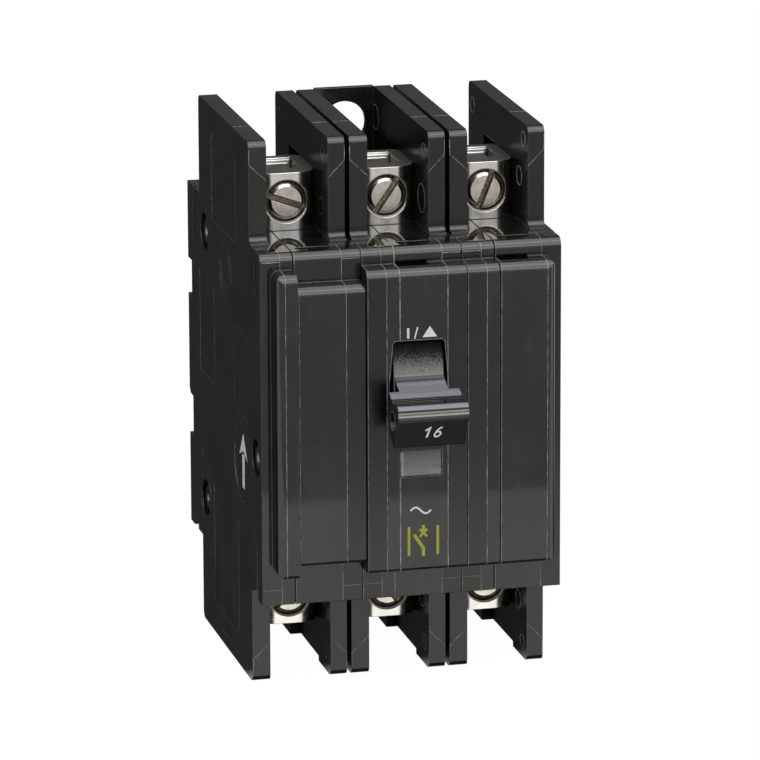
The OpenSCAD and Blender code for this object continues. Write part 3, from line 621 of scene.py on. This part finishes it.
def middle_joint_flash(bm, x, width, height, rng):
    """Flash on the joint of the middle pole, left out at the handle slot and the window."""
    line = front_path(x, FULL_NOSE)
    above, below = SLOT_TOP + 0.15 * MM, window_lo.z - 0.3 * MM
    upper = [q for q in line if q.z > above] + [Vector((x, nose_y, above))]
    lower = [Vector((x, nose_y, below))] + [q for q in line if q.z < below]
    for part in (upper, lower):
        bead(bm, part, front_normal, width, height, rng)


def case_flash(rng):
    """Flash down the front of every shell, across the skirts, and along the joints between the shells."""
    bm = bmesh.new()
    thin, tall = 0.20 * MM, 0.035 * MM
    for p in POLES:
        x = pole_left(p)
        heavy = 1.35 if p == 2 else 1
        bead(bm, front_path(x + LEFT_LINE, FULL_NOSE), front_normal, thin, tall, rng)
        bead(bm, front_path(x + RIGHT_LINE, cover_nose(p)), front_normal, thin * heavy, tall, rng)
        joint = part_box(f"pole_{p}_base")[1].x
        if p == 2:
            middle_joint_flash(bm, joint + SHELL_GAP / 2, 0.34 * MM, tall, rng)
        else:
            edge = joint + (0.36 if p == 3 else 0.34) * MM
            bead(bm, front_path(edge, cover_nose(p)), front_normal, thin * 0.8, tall, rng)
        if p > 1:
            bead(bm, front_path(x + SHELL_GAP, FULL_NOSE), front_normal, thin * 0.7, tall * 0.8, rng)
        for side, z in SKIRT_LINES.items():
            spans = []
            if p != 2 or side == "load":
                spans.append((x + 0.3 * MM, x + LEFT_LINE))
            if p < 3:
                spans.append((x + RIGHT_LINE, x + pitch - 0.3 * MM))
            for a, b in spans:
                bead(bm, [Vector((a, shoulder_y, z)), Vector((b, shoulder_y, z))], FRONT, thin, tall, rng)
    new_piece("case_flash", from_bmesh("case_flash", bm), "case", FLASH)


def opening_flash(rng):
    """Speckled pale rims of the handle slot and the window opening."""
    bm = bmesh.new()
    half, chamfer, spread, slot_low = 4.95 * MM, 0.5 * MM, 0.8 * MM, 6.2 * MM
    left, right = handle_middle - half, handle_middle + half
    slot_rim = [(left - spread, slot_low), (left, SLOT_TOP - chamfer), (left + chamfer, SLOT_TOP),
                (right - chamfer, SLOT_TOP), (right, SLOT_TOP - chamfer), (right + spread, slot_low)]
    bead(bm, [Vector((x, nose_y, z)) for x, z in slot_rim], FRONT, 0.16 * MM, 0.03 * MM, rng, 0.5 * MM)
    d = 0.12 * MM
    a, b = window_lo, window_hi
    window_rim = [(a.x - d, a.z - d), (b.x + d, a.z - d), (b.x + d, b.z + d), (a.x - d, b.z + d),
                  (a.x - d, a.z - d)]
    bead(bm, [Vector((x, nose_y, z)) for x, z in window_rim], FRONT, 0.13 * MM, 0.025 * MM, rng, 0.4 * MM)
    new_piece("opening_flash", from_bmesh("opening_flash", bm), "case", FLASH)


def barrier_flash(rng):
    """Chevrons and edge lines on the barriers' front faces, and a line across their tops."""
    bm = bmesh.new()
    thin, tall = 0.20 * MM, 0.03 * MM
    end_z, bend_z, chevron_z = 50.2 * MM, 47.4 * MM, 44.3 * MM
    top_y = barrier_y + 13.5 * MM
    # Outer and inner sides of a pole's two barriers, from the pole's left side.
    barriers = ((0.12 * MM, 3.4 * MM), (18.1 * MM, 15.1 * MM))
    for p in POLES:
        x = pole_left(p)
        for outer, inner in barriers:
            for way in (1, -1):
                chevron = ((outer, end_z), (outer, bend_z), (inner, chevron_z))
                points = [Vector((x + side, barrier_y, way * z)) for side, z in chevron]
                bead(bm, points, FRONT, thin, tall, rng)
            bead(bm, [Vector((x + outer, top_y, barrier_top)), Vector((x + inner, top_y, barrier_top))],
                 Vector((0, 0, 1)), thin, tall, rng)
    new_piece("barrier_flash", from_bmesh("barrier_flash", bm), "case", FLASH)


# ---------------------------------------------------------------- clamping screws
def screw_mesh(radius, length):
    """Slotted screw along Z with its face at 0 and its end at -length: chamfer, helical thread, plain tip."""
    segments, steps = 72, 44
    chamfer, drop = 1.0 * MM, 0.85 * MM
    thread_pitch, thread_depth = 1.0 * MM, 0.28 * MM
    start, end = 1.2 * MM, length - 0.15 * MM
    bm = bmesh.new()
    angles = [2 * math.pi * k / segments for k in range(segments)]
    rows = [(radius - chamfer, 0), (radius - 0.5 * MM, -0.32 * MM), (radius - 0.05 * MM, -drop),
            (radius, -drop - 0.06 * MM), (radius, -start)]
    rings = [[(r, z)] * segments for r, z in rows]
    for i in range(1, steps + 1):
        z = -start - (end - start) * i / steps
        fade = min(1, (-z - start) / (0.6 * MM), (length + z) / (0.5 * MM))
        ring = []
        for a in angles:
            phase = (z / thread_pitch - a / (2 * math.pi)) % 1.0
            ring.append((radius - thread_depth * fade * (1 - abs(2 * phase - 1)), z))
        rings.append(ring)
    rings.append([(radius - 0.3 * MM, -length)] * segments)
    made = [[bm.verts.new((r * math.cos(a), r * math.sin(a), z)) for a, (r, z) in zip(angles, ring)]
            for ring in rings]
    for a, b in zip(made, made[1:]):
        for k in range(segments):
            bm.faces.new((a[k], a[(k + 1) % segments], b[(k + 1) % segments], b[k]))
    bm.faces.new(made[0])
    bm.faces.new(list(reversed(made[-1])))
    return from_bmesh("screw", bm)


def cut_slot(mesh_data, width, depth, reach):
    """Cuts a straight slot, with a slightly rounded floor, into the face of a screw mesh."""
    bm = bmesh.new()
    half, corner, above = width / 2, 0.12 * MM, MM
    outline = [(-half, -depth + corner), (-half * 0.6, -depth), (half * 0.6, -depth),
               (half, -depth + corner), (half, above), (-half, above)]
    prism(bm, outline, lambda u, v, h: Vector((h, u, v)), -reach, reach)
    cutter = bpy.data.objects.new("cutter", from_bmesh("cutter", bm))
    blank = bpy.data.objects.new("blank", mesh_data)
    for obj in (cutter, blank):
        bpy.context.scene.collection.objects.link(obj)
    cut = blank.modifiers.new("slot", "BOOLEAN")
    cut.object = cutter
    cut.solver = "EXACT"
    add_bevel(blank, 0.05, 38, 1)
    bpy.context.view_layer.update()
    done = bpy.data.meshes.new_from_object(blank.evaluated_get(bpy.context.evaluated_depsgraph_get()))
    for obj in (cutter, blank):
        bpy.data.objects.remove(obj)
    return done


# Turn of each screw's slot in degrees, poles 1 to 3.
SLOT_ANGLES = {"line": (-20, 55, 68), "load": (35, -50, 12)}
SLOT_WIDTH, SLOT_DEPTH = 1.2 * MM, 1.25 * MM


def screws():
    """The six clamping screws, each from a copy of one mesh that ends just above its saddle."""
    lo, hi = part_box("line_screw_1")
    radius = (hi.x - lo.x) / 2
    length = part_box("line_saddle_1")[0].y - lo.y - 0.02 * MM
    blank = cut_slot(screw_mesh(radius, length), SLOT_WIDTH, SLOT_DEPTH, 6 * MM)
    for side, angles in SLOT_ANGLES.items():
        for p, angle in zip(POLES, angles):
            node = f"{side}_screw_{p}"
            lo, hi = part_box(node)
            centre = Vector(((lo.x + hi.x) / 2, lo.y, (lo.z + hi.z) / 2))
            data = blank.copy()
            to_front = Matrix.Rotation(math.radians(90), 4, "X")
            data.transform(to_front @ Matrix.Rotation(math.radians(angle), 4, "Z"))
            data.transform(Matrix.Translation(centre))
            nickel = turned("nickel_" + node, centre, (hi.x - lo.x) / 2, lo.y)
            obj = new_piece(f"{node}_turned", data, node, nickel, 18)
            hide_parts(node)


# ---------------------------------------------------------------- window, rivets, ejector marks
def window():
    """Window lens: a raised rim around a field that dips towards the middle."""
    bm = bmesh.new()
    lo, hi = window_lo, window_hi
    rings = []
    # How far each ring is set in from the edge, and how far behind the front, in millimetres.
    profile = ((0, 0.05), (0.1, -0.02), (0.42, -0.02), (0.62, 0.16), (1.2, 0.22))
    for d, y in [(0, hi.y)] + [(inset * MM, lo.y + behind * MM) for inset, behind in profile]:
        rings.append([bm.verts.new((x, y, z)) for x, z in ((lo.x + d, lo.z + d), (hi.x - d, lo.z + d),
                                                           (hi.x - d, hi.z - d), (lo.x + d, hi.z - d))])
    for a, b in zip(rings, rings[1:]):
        for k in range(4):
            bm.faces.new((a[k], a[(k + 1) % 4], b[(k + 1) % 4], b[k]))
    bm.faces.new(rings[-1])
    bm.faces.new(list(reversed(rings[0])))
    obj = new_piece("window_lens", from_bmesh("window_lens", bm), "case", LENS, 25)
    add_bevel(obj, 0.06, 15)
    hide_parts("trip_window")


def rivet_rims():
    """Rolled tubular rivet ends in the recesses on both sides of the case."""
    bm = bmesh.new()
    profile = [(1.15, 0.02), (1.25, 0.3), (1.55, 0.52), (1.95, 0.5), (2.35, 0.3), (2.5, 0.02)]
    profile = [(r * MM, h * MM) for r, h in profile + [(profile[0])]]
    lo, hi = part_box("case_rivets")
    for y, z in RIVETS:
        for x, way in ((lo.x, -1), (hi.x, 1)):
            turn = Matrix.Rotation(math.radians(90 * way), 3, "Y")
            lathe(bm, profile, Vector((x - way * 0.05 * MM, y * MM, z * MM)), turn, 48)
    new_piece("rivet_rims", from_bmesh("rivet_rims", bm), "case", IRON, 60)


# Centre (y, height) and radius of the rings on each pole's right-hand barriers, in millimetres.
EJECTOR_RINGS = {1: ((-50.6, 48.1, 1.3), (-49.4, 37.7, 1.6), (-14.2, 47.5, 1.5)),
                 2: ((-51.6, 47.5, 1.4), (-50.0, 38.2, 2.7), (-13.6, 46.0, 2.4)),
                 3: ((-51.9, 48.8, 1.4), (-49.0, 41.2, 1.8), (-14.2, 47.5, 1.5))}


def ejector_marks():
    """Fine raised moulding rings on the inner faces of the right-hand barriers."""
    bm = bmesh.new()
    turn = Matrix.Rotation(math.radians(-90), 3, "Y")
    w, h, sunk = 0.11, 0.05, -0.03
    for p in POLES:
        x = pole_left(p) + INNER_FACE
        for way in (1, -1):
            for y, z, r in EJECTOR_RINGS[p]:
                profile = [(r - w, sunk), (r - w / 2, h), (r + w / 2, h), (r + w, sunk), (r - w, sunk)]
                profile = [(a * MM, b * MM) for a, b in profile]
                lathe(bm, profile, Vector((x, y * MM, way * z * MM)), turn, 40)
    new_piece("ejector_marks", from_bmesh("ejector_marks", bm), "case", FLASH, 60)


# ---------------------------------------------------------------- printed marks
# Half the thickness of the ink. The marks' coordinates are in millimetres on the face that they lie on.
INK = 0.012 * MM


def front_marks():
    """A bar, a slanting stroke and an upward triangle above the handle, and a wave below the window."""
    bm = bmesh.new()
    place = front_plane(nose_y)
    stroke(bm, [(-1.75, 16.35), (-1.75, 18.3)], 0.42, place, -INK, INK)
    stroke(bm, [(-0.55, 16.2), (0.05, 18.4)], 0.26, place, -INK, INK)
    prism(bm, [(0.95, 16.4), (3.75, 16.4), (2.35, 18.5)], place, -INK, INK)
    wave = [(-1.4 + 0.28 * k, -16.6 + 0.62 * math.sin(2 * math.pi * k / 14)) for k in range(15)]
    stroke(bm, wave, 0.36, place, -INK, INK)
    new_piece("front_marks", from_bmesh("front_marks", bm), "case", WHITE, 30)


def switch_symbol():
    """Circuit breaker symbol of a wiring diagram, between bars: open blade, cross at the fixed contact."""
    bm = bmesh.new()
    place = front_plane(nose_y)
    width, arm, bar_out = 0.62, 0.72, 2.75
    x, low, high = 1.05, -25.4, -19.45
    stroke(bm, [(x, high), (x, high - 1.5)], width, place, -INK, INK)
    stroke(bm, [(x, low), (x, low + 1.5), (x - 1.75, high - 1.75)], width, place, -INK, INK)
    for way in (-1, 1):
        stroke(bm, [(x - arm, high - 1.5 - way * arm), (x + arm, high - 1.5 + way * arm)], 0.44, place,
               -INK, INK + 0.002 * MM * (way + 2))
    for bar in (x - bar_out, x + bar_out):
        stroke(bm, [(bar, low + 0.2), (bar, high - 0.2)], 0.5, place, -INK, INK)
    new_piece("switch_symbol", from_bmesh("switch_symbol", bm), "case", LIME, 30)


def grip_number():
    """A plain generic number on the sloping number face of the grip."""
    bm = bmesh.new()
    # Upper and lower edge (y, z) of the number face.
    top, foot = Vector((-80.1, 3.3)) * MM, Vector((-77.95, -1.5)) * MM
    down = (foot - top).normalized()
    out = Vector((down.y, -down.x))
    middle = handle_middle + 0.12 * MM
    size, slant, baseline = 1.05, 0.22, 3.65

    def place(u, v, h):
        q = top + down * (baseline - size * v) * MM + out * h
        return Vector((middle + size * (u + slant * v) * MM, q.x, q.y))

    one = [(-1.75, 1.55), (-1.05, 2.1), (-1.05, 0.0)]
    stroke(bm, one, 0.36, place, -INK, INK)
    bowl = [(0.72 + 0.52 * math.cos(t), 0.62 + 0.55 * math.sin(t))
            for t in (2 * math.pi * k / 20 + 2.2 for k in range(21))]
    stroke(bm, bowl, 0.33, place, -INK, INK)
    stroke(bm, [(0.24, 0.72), (0.36, 1.35), (0.72, 1.85), (1.15, 2.12)], 0.33, place, -INK, INK + 0.002 * MM)
    new_piece("grip_number", from_bmesh("grip_number", bm), "handle", WHITE, 30)


def grip_hole_rim(rng):
    """Pale ragged rim round the blind hole in the left end of the grip."""
    bm = bmesh.new()
    r, y, z = 1.8 * MM, -75.7 * MM, 2.7 * MM
    angles = [2 * math.pi * (k / 24 + 0.15) for k in range(19)]
    ring = [Vector((handle_box[0].x, y + r * math.cos(a), z + r * math.sin(a))) for a in angles]
    bead(bm, ring, Vector((-1, 0, 0)), 0.16 * MM, 0.03 * MM, rng, 0.3 * MM)
    new_piece("grip_hole_rim", from_bmesh("grip_hole_rim", bm), "handle", FLASH)


def side_arrow():
    """Plain arrow in the round hollow on the left side; it points to the line end."""
    bm = bmesh.new()
    hollow_floor = case_lo.x + 0.15 * MM
    y, z = -48.1, -11

    def place(u, v, h):
        return Vector((hollow_floor - h, (y + u) * MM, (z + v) * MM))

    stroke(bm, [(0, -5), (0, 1.5)], 1.9, place, -INK, INK)
    prism(bm, [(-3.4, 0.9), (0, 5.6), (3.4, 0.9), (0, 2.2)], place, -INK, INK + 0.003 * MM)
    new_piece("side_arrow", from_bmesh("side_arrow", bm), "case", WHITE, 30)


# The four flash pieces share one row of random draws, so their order stays as it is.
draws = random.Random(7)
case_flash(draws)
barrier_flash(draws)
opening_flash(draws)
grip_hole_rim(draws)
screws()
window()
rivet_rims()
ejector_marks()
front_marks()
switch_symbol()
grip_number()
side_arrow()


# ---------------------------------------------------------------- stage, light and camera
# What the glossy case mirrors: the brightness of the floor, the sky and the dark room. The floor turns from
# near to front glow at NEAR_SHEET metres ahead of the nose.
NEAR_SHEET = 0.131
NEAR_GLOW, FRONT_GLOW, REAR_GLOW, ROOM_GLOW = 1.45, 0.75, 0.8, 0.06
LINE_GLOW, BACK_GLOW = 5.0, 0.15
WARM = (1.0, 0.995, 0.94)


def floor():
    """Pale floor, burnt out to white for the camera. Reflections see a bright sheet close in front of the
    object, an even grey further in front, a grey behind it to the right, and a dark room elsewhere."""
    bm = bmesh.new()
    bmesh.ops.create_grid(bm, x_segments=2, y_segments=2, size=2.5)
    obj = bpy.data.objects.new("floor", from_bmesh("floor", bm))
    bpy.context.scene.collection.objects.link(obj)
    obj.location.z = case_lo.z - 0.1 * MM
    s = Shader("floor_paper")
    s.set(Base_Color=s.mix(s.noise((2.5, 2.5, 2.5), 4), rgb(0.60), rgb(0.64)), Roughness=0.8)
    x, y, _ = s.split(s.add("ShaderNodeNewGeometry").outputs["Position"])
    far = s.ramp(y, nose_y - NEAR_SHEET, nose_y - NEAR_SHEET - 0.001)
    behind = s.ramp(y, nose_y + 0.012, nose_y + 0.022)
    steep = s.ramp(s.split(s.add("ShaderNodeNewGeometry").outputs["Incoming"])[2], 0.60, 0.74)
    seen = s.mix(far, rgb(NEAR_GLOW, WARM), rgb(FRONT_GLOW, WARM))
    rear = s.times(s.ramp(x, -0.02, 0.0), s.ramp(y, 0.02, 0.04))
    dim = s.mix(rear, rgb(ROOM_GLOW), rgb(REAR_GLOW))
    seen = s.mix(s.most(behind, steep), seen, dim)
    ray = s.add("ShaderNodeLightPath")
    seen = s.mix(ray.outputs["Is Camera Ray"], seen, rgb(1.03))
    glow = s.add("ShaderNodeEmission")
    s.feed(glow.inputs[0], seen)
    blend = s.add("ShaderNodeMixShader")
    direct = s.times(ray.outputs["Is Camera Ray"], 0.96)
    s.feed(blend.inputs[0], s.most(ray.outputs["Is Glossy Ray"], direct))
    s.feed(blend.inputs[1], s.surface.outputs[0])
    s.feed(blend.inputs[2], glow.outputs[0])
    s.feed(s.tree.nodes["Material Output"].inputs["Surface"], blend.outputs[0])
    obj.data.materials.append(s.mat)


def world():
    """White to the camera; to everything else a bright front, a dim overhead and a dark room behind."""
    made = bpy.data.worlds.new("studio")
    bpy.context.scene.world = made
    made.use_nodes = True
    tree = made.node_tree

    def node(kind, **settings):
        new = tree.nodes.new(kind)
        for key, value in settings.items():
            setattr(new, key, value)
        return new

    def join(operation, a, b):
        new = node("ShaderNodeMath", operation=operation)
        tree.links.new(a, new.inputs[0])
        tree.links.new(b, new.inputs[1])
        return new.outputs[0]

    def product(a, b):
        return join("MULTIPLY", a, b)

    def most(a, b):
        return join("MAXIMUM", a, b)

    def ramp(value, low, high, out_low, out_high):
        new = node("ShaderNodeMapRange")
        tree.links.new(value, new.inputs["Value"])
        for key, v in (("From Min", low), ("From Max", high), ("To Min", out_low), ("To Max", out_high)):
            new.inputs[key].default_value = v
        return new.outputs[0]

    one = node("ShaderNodeValue").outputs[0]
    one.default_value = 1.0
    way = node("ShaderNodeSeparateXYZ")
    tree.links.new(node("ShaderNodeTexCoord").outputs["Generated"], way.inputs[0])
    front = ramp(way.outputs[1], 0.05, -0.25, 0.0, 1.0)
    below = ramp(way.outputs[2], 0.0, -0.02, 0.0, FRONT_GLOW)
    ray = node("ShaderNodeLightPath")
    risen = ramp(way.outputs[2], -0.01, 0.01, 0.0, 1.0)
    line = product(ramp(way.outputs[2], 0.28, 0.34, 0.0, LINE_GLOW),
                   ramp(way.outputs[2], 0.50, 0.44, 0.0, 1.0))
    sheet = product(ramp(way.outputs[2], 0.28, 0.46, 1.1, 3.3), ramp(way.outputs[2], 0.97, 0.80, 0.25, 1.0))
    mirrored = product(risen, most(line, sheet))
    soft = product(risen, ramp(way.outputs[2], 0.10, 0.75, 0.35, 0.7))
    glossy = ray.outputs["Is Glossy Ray"]
    sky = join("ADD", product(glossy, mirrored), product(join("SUBTRACT", one, glossy), soft))
    above = ramp(way.outputs[2], 0.02, 0.25, 0.03, BACK_GLOW)
    total = most(product(front, most(below, sky)), above)
    mix = node("ShaderNodeMix", data_type="RGBA")
    tree.links.new(ray.outputs["Is Camera Ray"], mix.inputs["Factor"])
    tree.links.new(total, mix.inputs["A"])
    mix.inputs["B"].default_value = (1, 1, 1, 1)
    tree.links.new(mix.outputs["Result"], tree.nodes["Background"].inputs[0])


def softbox(name, place, target, size, power):
    data = bpy.data.lights.new(name, "AREA")
    data.shape = "RECTANGLE"
    data.size, data.size_y = size
    data.energy = power
    obj = bpy.data.objects.new(name, data)
    obj.location = place
    obj.rotation_euler = (Vector(target) - Vector(place)).to_track_quat("-Z", "Y").to_euler()
    bpy.context.scene.collection.objects.link(obj)


def camera():
    """Long lens from the left and above, a little rolled, at the picture's viewing angle."""
    azimuth, elevation, roll = math.radians(-13.545), math.radians(14.594), math.radians(-0.212)
    distance = 1117.67 * MM
    target = Vector((-6.02, -64.5, 7.61)) * MM
    back = Vector((math.sin(azimuth) * math.cos(elevation), -math.cos(azimuth) * math.cos(elevation),
                   math.sin(elevation)))
    right = Vector((math.cos(azimuth), math.sin(azimuth), 0))
    up = back.cross(right)
    right, up = (math.cos(roll) * right + math.sin(roll) * up, math.cos(roll) * up - math.sin(roll) * right)
    data = bpy.data.cameras.new("camera")
    data.lens = 287
    data.sensor_width = 36
    data.clip_start = 0.01
    obj = bpy.data.objects.new("camera", data)
    turn = Matrix((right, up, back)).transposed().to_4x4()
    obj.matrix_world = Matrix.Translation(target + back * distance) @ turn
    bpy.context.scene.collection.objects.link(obj)
    bpy.context.scene.camera = obj


floor()
world()
softbox("overhead", place=(0.15, -0.20, 0.95), target=(0, -0.03, 0), size=(0.9, 0.9), power=6.5)
camera()
bpy.context.scene.view_settings.view_transform = "Standard"
